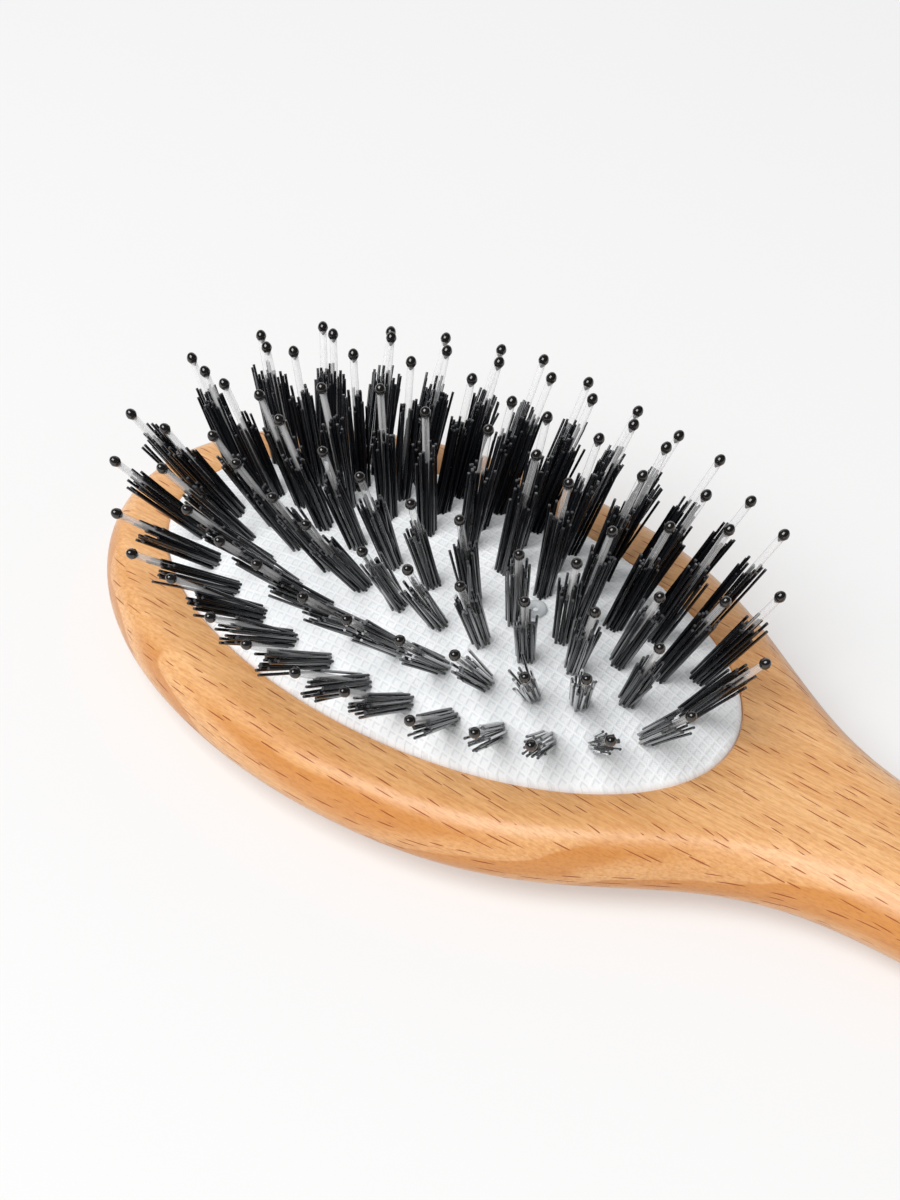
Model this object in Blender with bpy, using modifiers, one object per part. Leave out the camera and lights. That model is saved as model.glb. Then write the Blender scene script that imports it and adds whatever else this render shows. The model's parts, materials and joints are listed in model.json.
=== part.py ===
"""Cushion hairbrush: a beech head and handle, an air-cushioned pad, and tufts of bristles with ball-tipped pins.

Sizes are in metres. The brush lies on its back with the bristles up (+Z) and the handle along +X.
The origin is the resting point under the middle of the pad.
"""

import math

import bmesh
import bpy
from mathutils import Matrix, Vector
from mathutils.geometry import interpolate_bezier

# Beech body: borders are the wood left round the pad, and runs follow one another along X
HEAD_THICKNESS = 0.0140
SIDE_BORDER = 0.0104
TIP_BORDER = 0.0103
SHOULDER_RUN = 0.0320
NECK_WIDTH = 0.0236
HANDLE_RUN = 0.0900
HANDLE_WIDTH = 0.0270
HEAD_FACE_ROUNDING = 0.0050
HEAD_BACK_ROUNDING = 0.0160
HANDLE_FACE_SHARE = 0.80
HANDLE_BACK_SHARE = 0.64
SIDE_HEIGHT_SHARE = 0.52
ROUNDING_STEPS = 5

# Lengths of the outline's Bezier handles, as shares of each stretch
TIP_SHARES = (0.58, 0.53)
SHOULDER_SHARES = (0.56, 0.43)
GRIP_SHARES = (0.42, 0.45)
ROUND_END_SHARE = 0.5523
TIP_POINTS = 13
SHOULDER_POINTS = 13
GRIP_POINTS = 8
END_POINTS = 8

# Pocket for the pad: an air chamber with an undercut groove near its mouth
PAD_LENGTH = 0.0980
PAD_WIDTH = 0.0514
CHAMBER_DEPTH = 0.0080
MOUTH_CHAMFER = 0.0004
LIP_HEIGHT = 0.0016
GROOVE_HEIGHT = 0.0026
GROOVE_DEPTH = 0.0014
POCKET_POINTS = 56

# Rubber pad faced with canvas
PAD_CROWN = 0.0105
CROWN_POWER_SHARE = 1.4
PAD_THICKNESS = 0.0016
OVAL_POINTS = 32

# Rings of tufts, from the rim inwards: margins are from the pad's edge to the middle of the outer tufts
END_MARGIN = 0.0070
SIDE_MARGIN = 0.0047
CORE_PITCH_SHARE = 0.75
RING_TUFTS = (29, 25, 20, 15)
RING_PHASE_SHARES = (0.0, 0.35, 0.0, 0.5)
RING_SLICES = (6, 5, 5)
NEAR_CUT_SHARE = 0.1

# Lean of a tuft, as the tangent of its tilt at the rim, and how it grows towards the rim
LEAN_ALONG_SHARE = 0.42
LEAN_ALONG_GROWTH_SHARE = 1.06
LEAN_ACROSS_SHARE = 1.21
LEAN_ACROSS_GROWTH_SHARE = 0.32

# Bristles
BRISTLES_PER_TUFT = 3
BRISTLE_SIDES = 3
BRISTLE_RADIUS = 0.00040
BRISTLE_TIP_SHARE = 0.75
BRISTLE_LENGTH = 0.0146
BRISTLE_UNEVENNESS = 0.0030
BRISTLE_CIRCLE_RADIUS = 0.00115
FLARE_SHARE = 0.035
ROOT_DEPTH = 0.0009

# Clear pins with ball tips
PIN_SIDES = 4
PIN_RADIUS = 0.00042
PIN_LENGTH = 0.0196
BALL_RADIUS = 0.00085

# Air vent in the pad, inside the end of the innermost ring
VENT_MARGIN = 0.0084
VENT_RADIUS = 0.0011
VENT_FLANGE = 0.0006
VENT_FLANGE_HEIGHT = 0.0004
VENT_BORE_RADIUS = 0.0004
VENT_TAIL = 0.0008
VENT_SIDES = 12

# Fits
CLEARANCE = 0.0003
OVERRUN = 0.0020
MERGE_DISTANCE = 0.000001
ARC_SAMPLES = 720
SMOOTH_ANGLE = math.radians(40)

# Places and half sizes that follow from the sizes above
FACE_HEIGHT = HEAD_THICKNESS
PAD_HALF_LENGTH = PAD_LENGTH / 2
PAD_HALF_WIDTH = PAD_WIDTH / 2
HEAD_HALF_WIDTH = PAD_HALF_WIDTH + SIDE_BORDER
NECK_HALF_WIDTH = NECK_WIDTH / 2
GRIP_HALF_WIDTH = HANDLE_WIDTH / 2
HEAD_REACH = PAD_HALF_LENGTH + TIP_BORDER
NECK_REACH = PAD_HALF_LENGTH + SHOULDER_RUN
HANDLE_REACH = NECK_REACH + HANDLE_RUN
GRIP_REACH = HANDLE_REACH - GRIP_HALF_WIDTH
CORE = len(RING_TUFTS) - 1
RING_PITCH = (PAD_HALF_WIDTH - SIDE_MARGIN) / (CORE + CORE_PITCH_SHARE)
VENT_REACH = PAD_HALF_LENGTH - END_MARGIN - CORE * RING_PITCH - VENT_MARGIN

# Base colour, roughness and metallic value of each finish
FINISHES = {
    "beech": ((0.72, 0.43, 0.21, 1), 0.42, 0.0),
    "canvas_rubber": ((0.86, 0.87, 0.86, 1), 0.75, 0.0),
    "black_nylon": ((0.015, 0.015, 0.018, 1), 0.28, 0.0),
    "clear_nylon": ((0.78, 0.79, 0.78, 1), 0.20, 0.0),
    "vent_plastic": ((0.66, 0.68, 0.69, 1), 0.50, 0.0),
}
TUFT_FINISHES = ("canvas_rubber", "black_nylon", "clear_nylon")
BLACK_SLOT = TUFT_FINISHES.index("black_nylon")
CLEAR_SLOT = TUFT_FINISHES.index("clear_nylon")


def clear_scene():
    """Removes whatever the file holds."""
    for thing in list(bpy.data.objects):
        bpy.data.objects.remove(thing, do_unlink=True)


def new_collection(name):
    """Adds a collection to the scene."""
    collection = bpy.data.collections.new(name)
    bpy.context.scene.collection.children.link(collection)
    return collection


def finish(name):
    """Returns the finish's material, made on its first use."""
    found = bpy.data.materials.get(name)
    if found:
        return found
    colour, roughness, metallic = FINISHES[name]
    material = bpy.data.materials.new(name)
    material.use_nodes = True
    shader = material.node_tree.nodes["Principled BSDF"]
    shader.inputs["Base Color"].default_value = colour
    shader.inputs["Roughness"].default_value = roughness
    shader.inputs["Metallic"].default_value = metallic
    material.diffuse_color = colour
    return material


def new_object(name, bm, collection, finishes):
    """Turns a bmesh into a named object with its finishes."""
    bmesh.ops.recalc_face_normals(bm, faces=bm.faces)
    if bm.calc_volume(signed=True) < 0:
        bmesh.ops.reverse_faces(bm, faces=bm.faces)
    mesh = bpy.data.meshes.new(name)
    bm.to_mesh(mesh)
    bm.free()
    mesh.shade_smooth()
    mesh.set_sharp_from_angle(angle=SMOOTH_ANGLE)
    thing = bpy.data.objects.new(name, mesh)
    collection.objects.link(thing)
    for finish_name in finishes:
        mesh.materials.append(finish(finish_name))
    return thing


def boolean(target, tool, operation):
    """Joins or cuts the target with a tool that stays out of sight."""
    modifier = target.modifiers.new(tool.name, "BOOLEAN")
    modifier.operation = operation
    modifier.solver = "EXACT"
    modifier.object = tool
    tool.hide_render = True
    tool.display_type = "WIRE"


# Lofts


def loft(bm, rows, closed_rows, closed_loops):
    """Joins rows of points with quads; both directions may close on themselves."""
    grid = [[bm.verts.new(point) for point in row] for row in rows]
    row_count = len(grid)
    loop_count = len(grid[0])
    for i in range(row_count if closed_rows else row_count - 1):
        above, below = grid[i], grid[(i + 1) % row_count]
        for j in range(loop_count if closed_loops else loop_count - 1):
            k = (j + 1) % loop_count
            bm.faces.new((above[j], above[k], below[k], below[j]))
    return grid


def oval_stack(levels, points):
    """Returns a closed bmesh of stacked ovals; a level is its half length, half width and height."""
    bm = bmesh.new()
    turn = 2 * math.pi / points
    rows = []
    for half_length, half_width, height in levels:
        rows.append([
            Vector((half_length * math.cos(k * turn), half_width * math.sin(k * turn), height))
            for k in range(points)
        ])
    grid = loft(bm, rows, closed_rows=False, closed_loops=True)
    bm.faces.new(grid[0])
    bm.faces.new(grid[-1])
    return bm


# Beech body


def half_outline():
    """Returns the plan outline from the tip of the head round the +Y side to the end of the handle."""
    grip_run = GRIP_REACH - NECK_REACH
    round_pull = GRIP_HALF_WIDTH * ROUND_END_SHARE
    stretches = (
        (
            (-HEAD_REACH, 0),
            (-HEAD_REACH, HEAD_HALF_WIDTH * TIP_SHARES[0]),
            (-HEAD_REACH * TIP_SHARES[1], HEAD_HALF_WIDTH),
            (0, HEAD_HALF_WIDTH),
            TIP_POINTS,
        ),
        (
            (0, HEAD_HALF_WIDTH),
            (NECK_REACH * SHOULDER_SHARES[0], HEAD_HALF_WIDTH),
            (NECK_REACH - NECK_REACH * SHOULDER_SHARES[1], NECK_HALF_WIDTH),
            (NECK_REACH, NECK_HALF_WIDTH),
            SHOULDER_POINTS,
        ),
        (
            (NECK_REACH, NECK_HALF_WIDTH),
            (NECK_REACH + grip_run * GRIP_SHARES[0], NECK_HALF_WIDTH),
            (GRIP_REACH - grip_run * GRIP_SHARES[1], GRIP_HALF_WIDTH),
            (GRIP_REACH, GRIP_HALF_WIDTH),
            GRIP_POINTS,
        ),
        (
            (GRIP_REACH, GRIP_HALF_WIDTH),
            (GRIP_REACH + round_pull, GRIP_HALF_WIDTH),
            (HANDLE_REACH, round_pull),
            (HANDLE_REACH, 0),
            END_POINTS,
        ),
    )
    outline = []
    for start, pull_out, pull_in, end, count in stretches:
        knots = [Vector((x, y, 0)) for x, y in (start, pull_out, pull_in, end)]
        outline += interpolate_bezier(*knots, count)[:-1]
    outline.append(Vector((HANDLE_REACH, 0, 0)))
    return outline


def smooth_step(low, high, value):
    """Rises from 0 at low to 1 at high with level ends."""
    share = min(max((value - low) / (high - low), 0), 1)
    return share * share * (3 - 2 * share)


def inset_loop(outline, depth_at):
    """Moves each outline point inwards along its own normal."""
    count = len(outline)
    moved = []
    for k, point in enumerate(outline):
        along = outline[(k + 1) % count] - outline[k - 1]
        outwards = Vector((-along.y, along.x, 0)).normalized()
        moved.append(point - outwards * depth_at(point.x))
    return moved


def rounding_depth(x, head_depth, handle_share):
    """Width of a rounded edge: a set depth round the head, a share of the half width on the handle."""
    grip = smooth_step(NECK_REACH, GRIP_REACH, x)
    half_width = NECK_HALF_WIDTH + (GRIP_HALF_WIDTH - NECK_HALF_WIDTH) * grip
    share = smooth_step(PAD_HALF_LENGTH, NECK_REACH, x)
    return head_depth + (half_width * handle_share - head_depth) * share


def body_loops():
    """Returns the body's level loops, from the flat back up to the flat face."""
    half = half_outline()
    outline = half + [Vector((p.x, -p.y, 0)) for p in reversed(half[1:-1])]
    side_height = HEAD_THICKNESS * SIDE_HEIGHT_SHARE
    loops = []
    for step in range(-ROUNDING_STEPS, ROUNDING_STEPS + 1):
        angle = math.pi / 2 * step / ROUNDING_STEPS
        share = 1 - math.cos(angle)
        if step < 0:
            height = side_height * (1 + math.sin(angle))
            edge = (HEAD_BACK_ROUNDING, HANDLE_BACK_SHARE)
        else:
            height = side_height + (HEAD_THICKNESS - side_height) * math.sin(angle)
            edge = (HEAD_FACE_ROUNDING, HANDLE_FACE_SHARE)
        moved = inset_loop(outline, lambda x: rounding_depth(x, *edge) * share)
        loops.append([Vector((p.x, p.y, height)) for p in moved])
    return loops


def cap_with_strips(bm, loop):
    """Closes a loop that is symmetric about the XZ plane with strips across it."""
    count = len(loop)
    for k in range(count // 2):
        corners = [loop[k], loop[k + 1], loop[-k - 1], loop[-k] if k else None]
        if k + 1 == count - k - 1:
            corners[2] = None
        bm.faces.new([corner for corner in corners if corner is not None])


def make_body(parts, tools):
    """One-piece beech head and handle with the pad's pocket cut into its face."""
    bm = bmesh.new()
    grid = loft(bm, body_loops(), closed_rows=False, closed_loops=True)
    cap_with_strips(bm, grid[0])
    cap_with_strips(bm, grid[-1])
    body = new_object("wood_body", bm, parts, ("beech",))
    a, b = PAD_HALF_LENGTH, PAD_HALF_WIDTH
    groove_top = FACE_HEIGHT - LIP_HEIGHT
    groove_bottom = groove_top - GROOVE_HEIGHT
    levels = (
        (a, b, FACE_HEIGHT - CHAMBER_DEPTH),
        (a, b, groove_bottom),
        (a + GROOVE_DEPTH, b + GROOVE_DEPTH, groove_bottom),
        (a + GROOVE_DEPTH, b + GROOVE_DEPTH, groove_top),
        (a, b, groove_top),
        (a, b, FACE_HEIGHT - MOUTH_CHAMFER),
        (a + MOUTH_CHAMFER, b + MOUTH_CHAMFER, FACE_HEIGHT),
        (a + MOUTH_CHAMFER, b + MOUTH_CHAMFER, FACE_HEIGHT + OVERRUN),
    )
    pocket = new_object("pocket_cutter", oval_stack(levels, POCKET_POINTS), tools, ())
    boolean(body, pocket, "DIFFERENCE")


# Pad


def rim_square(x, y):
    """Square of the distance from the middle of the pad, 1 at its rim."""
    return (x / PAD_HALF_LENGTH) ** 2 + (y / PAD_HALF_WIDTH) ** 2


def crown_height(x, y):
    """Height of the pad's outer face."""
    return FACE_HEIGHT + PAD_CROWN * (1 - rim_square(x, y) ** CROWN_POWER_SHARE)


def crown_normal(x, y):
    """Outward direction of the pad's outer face."""
    steepness = 2 * PAD_CROWN * CROWN_POWER_SHARE * rim_square(x, y) ** (CROWN_POWER_SHARE - 1)
    return Vector((steepness * x / PAD_HALF_LENGTH**2, steepness * y / PAD_HALF_WIDTH**2, 1)).normalized()


def pad_point(half_length, half_width, angle, depth):
    """Returns the point of an oval on the pad's face, sunk by a depth along the normal."""
    x = half_length * math.cos(angle)
    y = half_width * math.sin(angle)
    return Vector((x, y, crown_height(x, y))) - crown_normal(x, y) * depth


def oval_angles(half_length, half_width, count, phase):
    """Returns the parameters of points spaced evenly along an oval."""
    turn = 2 * math.pi / ARC_SAMPLES
    lengths = [0]
    for k in range(ARC_SAMPLES):
        angle = (k + 1 / 2) * turn
        speed = math.hypot(half_length * math.sin(angle), half_width * math.cos(angle))
        lengths.append(lengths[-1] + speed * turn)
    angles = []
    k = 0
    for place in range(count):
        wanted = lengths[-1] * (place + phase) / count
        while lengths[k + 1] < wanted:
            k += 1
        share = (wanted - lengths[k]) / (lengths[k + 1] - lengths[k])
        angles.append((k + share) * turn)
    return angles


def ring_halves(ring):
    """Returns the half length and half width of a ring of tufts."""
    inwards = ring * RING_PITCH
    return PAD_HALF_LENGTH - END_MARGIN - inwards, PAD_HALF_WIDTH - SIDE_MARGIN - inwards


def make_pad_rim(parts):
    """Drawn-in side of the pad, with the bead that the groove holds."""
    outer_ring = ring_halves(0)
    reach = RING_PITCH / 2 + CLEARANCE / 2
    inner_a, inner_b = outer_ring[0] + reach, outer_ring[1] + reach
    rim_a, rim_b = PAD_HALF_LENGTH - CLEARANCE, PAD_HALF_WIDTH - CLEARANCE
    bead = GROOVE_DEPTH
    bead_top = FACE_HEIGHT - LIP_HEIGHT - CLEARANCE
    bead_bottom = FACE_HEIGHT - LIP_HEIGHT - GROOVE_HEIGHT + CLEARANCE
    rows = []
    for k in range(OVAL_POINTS):
        angle = 2 * math.pi * k / OVAL_POINTS
        across = Vector((math.cos(angle), math.sin(angle), 0))

        def level(a, b, height):
            return Vector((a * across.x, b * across.y, height))

        underside = pad_point(inner_a, inner_b, angle, PAD_THICKNESS)
        rows.append((
            pad_point(inner_a, inner_b, angle, 0),
            pad_point((inner_a + rim_a) / 2, (inner_b + rim_b) / 2, angle, 0),
            pad_point(rim_a, rim_b, angle, 0),
            level(rim_a, rim_b, bead_top),
            level(rim_a + bead, rim_b + bead, bead_top),
            level(rim_a + bead, rim_b + bead, bead_bottom),
            level(inner_a, inner_b, bead_bottom),
            level(inner_a, inner_b, underside.z),
        ))
    bm = bmesh.new()
    loft(bm, rows, closed_rows=True, closed_loops=True)
    new_object("pad_rim", bm, parts, ("canvas_rubber",))


# Tufts


def lean(x, y):
    """Direction of a tuft: the tufts fan out from the middle of the pad."""
    square = rim_square(x, y)
    along = LEAN_ALONG_SHARE * x / PAD_HALF_LENGTH * (1 + LEAN_ALONG_GROWTH_SHARE * square)
    across = LEAN_ACROSS_SHARE * y / PAD_HALF_WIDTH * (1 + LEAN_ACROSS_GROWTH_SHARE * square)
    return Vector((along, across, 1)).normalized()


def frame_along(start, direction):
    """Returns the matrix that stands a piece on a point, along a direction."""
    return Matrix.Translation(start) @ direction.to_track_quat("Z", "Y").to_matrix().to_4x4()


def add_bristles(bm, root, direction, number):
    """Adds a tuft's bristles, of uneven length and a little flared."""
    place = frame_along(root, direction)
    for k in range(BRISTLES_PER_TUFT):
        angle = 2 * math.pi * (k + 1 / 2) / BRISTLES_PER_TUFT
        outwards = Vector((math.cos(angle), math.sin(angle), 0))
        unevenness = math.sin(number * BRISTLES_PER_TUFT + k + number * number)
        length = BRISTLE_LENGTH + BRISTLE_UNEVENNESS / 2 * unevenness
        heading = Vector((outwards.x * FLARE_SHARE, outwards.y * FLARE_SHARE, 1)).normalized()
        start = outwards * BRISTLE_CIRCLE_RADIUS - heading * ROOT_DEPTH
        middle = Matrix.Translation((0, 0, (length + ROOT_DEPTH) / 2))
        bmesh.ops.create_cone(
            bm,
            cap_ends=True,
            segments=BRISTLE_SIDES,
            radius1=BRISTLE_RADIUS,
            radius2=BRISTLE_RADIUS * BRISTLE_TIP_SHARE,
            depth=length + ROOT_DEPTH,
            matrix=place @ frame_along(start, heading) @ middle,
        )
    for face in bm.faces:
        if face.material_index == 0:
            face.material_index = BLACK_SLOT


def pin_mesh():
    """Turned pin: a clear shaft with a ball tip."""
    bm = bmesh.new()
    ball_top = BALL_RADIUS / math.sqrt(2)
    profile = (
        (0, -ROOT_DEPTH),
        (PIN_RADIUS, -ROOT_DEPTH),
        (PIN_RADIUS, PIN_LENGTH - BALL_RADIUS),
        (BALL_RADIUS, PIN_LENGTH),
        (ball_top, PIN_LENGTH + ball_top),
        (0, PIN_LENGTH + ball_top),
    )
    chain = [bm.verts.new((radius, 0, height)) for radius, height in profile]
    edges = [bm.edges.new(pair) for pair in zip(chain, chain[1:])]
    bmesh.ops.spin(
        bm,
        geom=chain + edges,
        cent=(0, 0, 0),
        axis=(0, 0, 1),
        angle=2 * math.pi,
        steps=PIN_SIDES,
        use_merge=True,
    )
    bmesh.ops.remove_doubles(bm, verts=bm.verts, dist=MERGE_DISTANCE)
    bmesh.ops.recalc_face_normals(bm, faces=bm.faces)
    for face in bm.faces:
        ball = face.calc_center_median().z > PIN_LENGTH - BALL_RADIUS
        face.material_index = BLACK_SLOT if ball else CLEAR_SLOT
    mesh = bpy.data.meshes.new("pin")
    bm.to_mesh(mesh)
    bm.free()
    return mesh


def add_pin(bm, pin, root, direction):
    """Adds a copy of the pin on a root."""
    placed = pin.copy()
    placed.transform(frame_along(root, direction))
    bm.from_mesh(placed)
    bpy.data.meshes.remove(placed)


def make_tufts(name, slice_object, angles, ring, pin, tools):
    """Fuses a slice of the pad with its tufts and pins."""
    half_length, half_width = ring_halves(ring)
    bm = bmesh.new()
    for number, angle in enumerate(angles):
        root = pad_point(half_length, half_width, angle, 0)
        direction = lean(root.x, root.y)
        add_bristles(bm, root, direction, number + ring)
        add_pin(bm, pin, root, direction)
    tufts = new_object(name + "_strands", bm, tools, TUFT_FINISHES)
    boolean(slice_object, tufts, "UNION")


def slice_end(half_length, half_width, angle, side):
    """Returns the parameter of a slice's end on one oval, half a clearance short of the cut."""
    speed = math.hypot(half_length * math.sin(angle), half_width * math.cos(angle))
    return angle + side * CLEARANCE / 2 / speed


def make_slice(name, ring, start, end, parts):
    """One slice of the pad's membrane round a stretch of a ring."""
    ring_a, ring_b = ring_halves(ring)
    reach = (RING_PITCH - CLEARANCE) / 2
    ovals = ((ring_a + reach, ring_b + reach), (ring_a - reach, ring_b - reach))
    turn = 2 * math.pi / OVAL_POINTS
    first = [slice_end(*oval, start, 1) for oval in ovals]
    last = [slice_end(*oval, end, -1) for oval in ovals]
    lowest = math.ceil(max(first) / turn + NEAR_CUT_SHARE)
    highest = math.floor(min(last) / turn - NEAR_CUT_SHARE)
    stations = [first]
    stations += [[k * turn] * len(ovals) for k in range(lowest, highest + 1)]
    stations.append(last)
    rows = []
    for outer, inner in stations:
        rows.append((
            pad_point(*ovals[0], outer, 0),
            pad_point(*ovals[1], inner, 0),
            pad_point(*ovals[1], inner, PAD_THICKNESS),
            pad_point(*ovals[0], outer, PAD_THICKNESS),
        ))
    bm = bmesh.new()
    grid = loft(bm, rows, closed_rows=False, closed_loops=True)
    bm.faces.new(grid[0])
    bm.faces.new(grid[-1])
    return new_object(name, bm, parts, TUFT_FINISHES)


def make_core_slice(name, parts):
    """Middle slice of the membrane, from the innermost ring in to the pad's long axis."""
    ring_a, ring_b = ring_halves(CORE)
    reach = (RING_PITCH - CLEARANCE) / 2
    ovals = ((ring_a - reach, 0), (ring_a + reach, ring_b + reach))
    rows = []
    for k in range(OVAL_POINTS):
        angle = 2 * math.pi * k / OVAL_POINTS
        outer_face = [pad_point(a, b, angle, 0) for a, b in ovals]
        inner_face = [pad_point(a, b, angle, PAD_THICKNESS) for a, b in ovals]
        rows.append(outer_face + inner_face[::-1])
    bm = bmesh.new()
    loft(bm, rows, closed_rows=True, closed_loops=False)
    bmesh.ops.remove_doubles(bm, verts=bm.verts, dist=MERGE_DISTANCE)
    return new_object(name, bm, parts, TUFT_FINISHES)


def split_evenly(total, shares):
    """Splits a count into whole groups that differ by one at most."""
    ends = [round(total * k / shares) for k in range(shares + 1)]
    return [range(low, high) for low, high in zip(ends, ends[1:])]


def make_rings(parts, tools):
    """Rings of slices with their tufts, and the middle slice."""
    pin = pin_mesh()
    for ring, count in enumerate(RING_TUFTS):
        halves = ring_halves(ring)
        phase = RING_PHASE_SHARES[ring]
        if ring == CORE:
            middle = make_core_slice("core_tufts", parts)
            make_tufts("core_tufts", middle, oval_angles(*halves, count, phase), ring, pin, tools)
            cut_vent_hole(middle, tools)
            continue
        tufts = oval_angles(*halves, count, phase)
        cuts = oval_angles(*halves, count, phase + 1 / 2)
        cuts = [cuts[-1] - 2 * math.pi] + cuts
        for number, group in enumerate(split_evenly(count, RING_SLICES[ring])):
            name = f"ring_{ring + 1}_tufts_{number + 1}"
            piece = make_slice(name, ring, cuts[group.start], cuts[group.stop], parts)
            make_tufts(name, piece, tufts[group.start : group.stop], ring, pin, tools)


# Air vent


def cut_vent_hole(middle, tools):
    """Hole through the pad that the vent sits in."""
    top = crown_height(VENT_REACH, 0)
    bm = bmesh.new()
    bmesh.ops.create_cone(
        bm,
        cap_ends=True,
        segments=VENT_SIDES,
        radius1=VENT_RADIUS + CLEARANCE,
        radius2=VENT_RADIUS + CLEARANCE,
        depth=PAD_THICKNESS + 2 * OVERRUN,
        matrix=Matrix.Translation((VENT_REACH, 0, top - PAD_THICKNESS / 2)),
    )
    boolean(middle, new_object("vent_cutter", bm, tools, ()), "DIFFERENCE")


def make_vent(parts):
    """Turned vent plug with a flange on the pad's face and an air bore."""
    top = crown_height(VENT_REACH, 0) + CLEARANCE
    flange_top = top + VENT_FLANGE_HEIGHT
    bottom = top - CLEARANCE - PAD_THICKNESS - VENT_TAIL
    profile = (
        (VENT_BORE_RADIUS, flange_top),
        (VENT_RADIUS + VENT_FLANGE, flange_top),
        (VENT_RADIUS + VENT_FLANGE, top),
        (VENT_RADIUS, top),
        (VENT_RADIUS, bottom),
        (VENT_BORE_RADIUS, bottom),
    )
    bm = bmesh.new()
    chain = [bm.verts.new((radius, 0, height)) for radius, height in profile]
    for pair in zip(chain, chain[1:] + chain[:1]):
        bm.edges.new(pair)
    vent = new_object("air_vent", bm, parts, ("vent_plastic",))
    vent.location = (VENT_REACH, 0, 0)
    screw = vent.modifiers.new("turn", "SCREW")
    screw.steps = VENT_SIDES
    screw.render_steps = VENT_SIDES
    screw.use_merge_vertices = True
    screw.merge_threshold = MERGE_DISTANCE
    screw.use_smooth_shade = True


def main():
    """Builds the brush."""
    clear_scene()
    parts = new_collection("cushion_hairbrush")
    tools = new_collection("cutters")
    make_body(parts, tools)
    make_pad_rim(parts)
    make_rings(parts, tools)
    make_vent(parts)


main()
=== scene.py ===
"""Dresses the cushion hairbrush: lacquered beech, a canvas pad, nylon bristles and ball-tipped pins.

Sizes are in metres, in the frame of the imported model: +Z up, +X along the handle, the origin under the pad.
"""

import json
import math

import bmesh
import bpy
import numpy as np
from bpy.props import FloatProperty, FloatVectorProperty, IntProperty, PointerProperty
from mathutils import Matrix, Vector
from mathutils.geometry import interpolate_bezier


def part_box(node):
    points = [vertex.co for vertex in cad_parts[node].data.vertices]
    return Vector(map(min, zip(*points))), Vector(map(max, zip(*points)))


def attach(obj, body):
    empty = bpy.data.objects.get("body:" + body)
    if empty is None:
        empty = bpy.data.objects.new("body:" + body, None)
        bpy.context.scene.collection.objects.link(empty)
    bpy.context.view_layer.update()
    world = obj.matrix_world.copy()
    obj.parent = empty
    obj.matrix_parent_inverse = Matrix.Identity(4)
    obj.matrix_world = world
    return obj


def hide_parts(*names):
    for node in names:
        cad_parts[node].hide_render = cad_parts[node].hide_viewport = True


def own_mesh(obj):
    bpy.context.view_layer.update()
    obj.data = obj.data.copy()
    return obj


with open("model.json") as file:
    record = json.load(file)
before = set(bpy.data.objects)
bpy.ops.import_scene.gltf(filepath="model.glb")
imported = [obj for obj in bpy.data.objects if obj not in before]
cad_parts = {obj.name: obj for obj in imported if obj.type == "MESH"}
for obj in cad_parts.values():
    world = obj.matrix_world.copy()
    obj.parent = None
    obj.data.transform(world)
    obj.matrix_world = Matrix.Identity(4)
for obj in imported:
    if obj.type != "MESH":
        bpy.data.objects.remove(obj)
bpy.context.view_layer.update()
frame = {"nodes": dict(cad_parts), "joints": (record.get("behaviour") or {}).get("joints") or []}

bl_info = {
    "name": "Cushion Hairbrush",
    "version": (1, 0, 0),
    "blender": (4, 5, 0),
    "location": "View3D > Sidebar > Hairbrush",
    "description": "Makes the finished pieces of a wooden cushion hairbrush",
    "category": "Object",
}

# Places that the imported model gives
BODY_LOW, BODY_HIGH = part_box("wood_body")
FACE_HEIGHT = BODY_HIGH.z
HEAD_REACH = -BODY_LOW.x
HANDLE_REACH = BODY_HIGH.x
HEAD_HALF = BODY_HIGH.y
VENT_LOW, VENT_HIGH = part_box("air_vent")
TUFT_NODES = [name for name in frame["nodes"] if name.endswith("_tufts") or "_tufts_" in name]
HELD_BODY = "brush_body"
PRESSED_BODY = "bristle_field"
PRESS_JOINT = "cushion_press"
PRESS_TRAVEL = next(max(joint["range_m"]) for joint in frame["joints"] if joint["name"] == PRESS_JOINT)

# Outline of the body: pulls of its Bezier curves, as shares of each stretch
TIP_SHARES = (0.58, 0.53)
SHOULDER_SHARES = (0.56, 0.43)
GRIP_SHARES = (0.42, 0.45)
ROUND_END_SHARE = 0.5523
OUTLINE_POINTS = (44, 52, 26, 24)
ROUNDING_STEPS = 12
SIDE_HEIGHT_SHARE = 0.52
HANDLE_FACE_SHARE = 0.80
HANDLE_BACK_SHARE = 0.64
MOUTH_POINTS = 256
MOUTH_STEPS = 4

# Angles from which an edge stays sharp
SHARP_ANGLE = math.radians(50)
CUT_SHARP_ANGLE = math.radians(40)
PAD_SHARP_ANGLE = math.radians(70)
VENT_SHARP_ANGLE = math.radians(80)

# Rings of tufts
RING_TUFTS = (29, 25, 20, 15)
RING_PHASE_SHARES = (0.0, 0.35, 0.0, 0.5)
CORE_PITCH_SHARE = 0.75
LEAN_ALONG_SHARE = 0.42
LEAN_ALONG_GROWTH_SHARE = 1.06
LEAN_ACROSS_SHARE = 1.21
LEAN_ACROSS_GROWTH_SHARE = 0.32
ARC_SAMPLES = 720
GOLDEN_ANGLE = math.pi * (3 - math.sqrt(5))

# Canvas: where the grid lines of a cell stand, from one raised thread to the next, and the shape round it
CELL_SHARES = (0.0, 0.13, 0.38, 0.62, 0.87)
UNDERSIDE_SHARES = (0.96, 0.85, 0.65, 0.4, 0.2)
CROWN_POWER_SHARE = 1.4
INSIDE_SHARE = 0.985
PUCKER_WIDTH_SHARE = 0.16
HOLLOW_DEPTH_SHARE = 2.0
THREADS_PER_CELL = 4.0

# Growth layers of the beech: pitch, place of the pith, slope along the handle and wander
RING_PITCH = 0.0052
RING_SIDE = 0.012
RING_DROP = 0.060
RING_SLOPE = 9.0
RING_WANDER = 2.2
TILT_STEP = math.radians(45)

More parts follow.
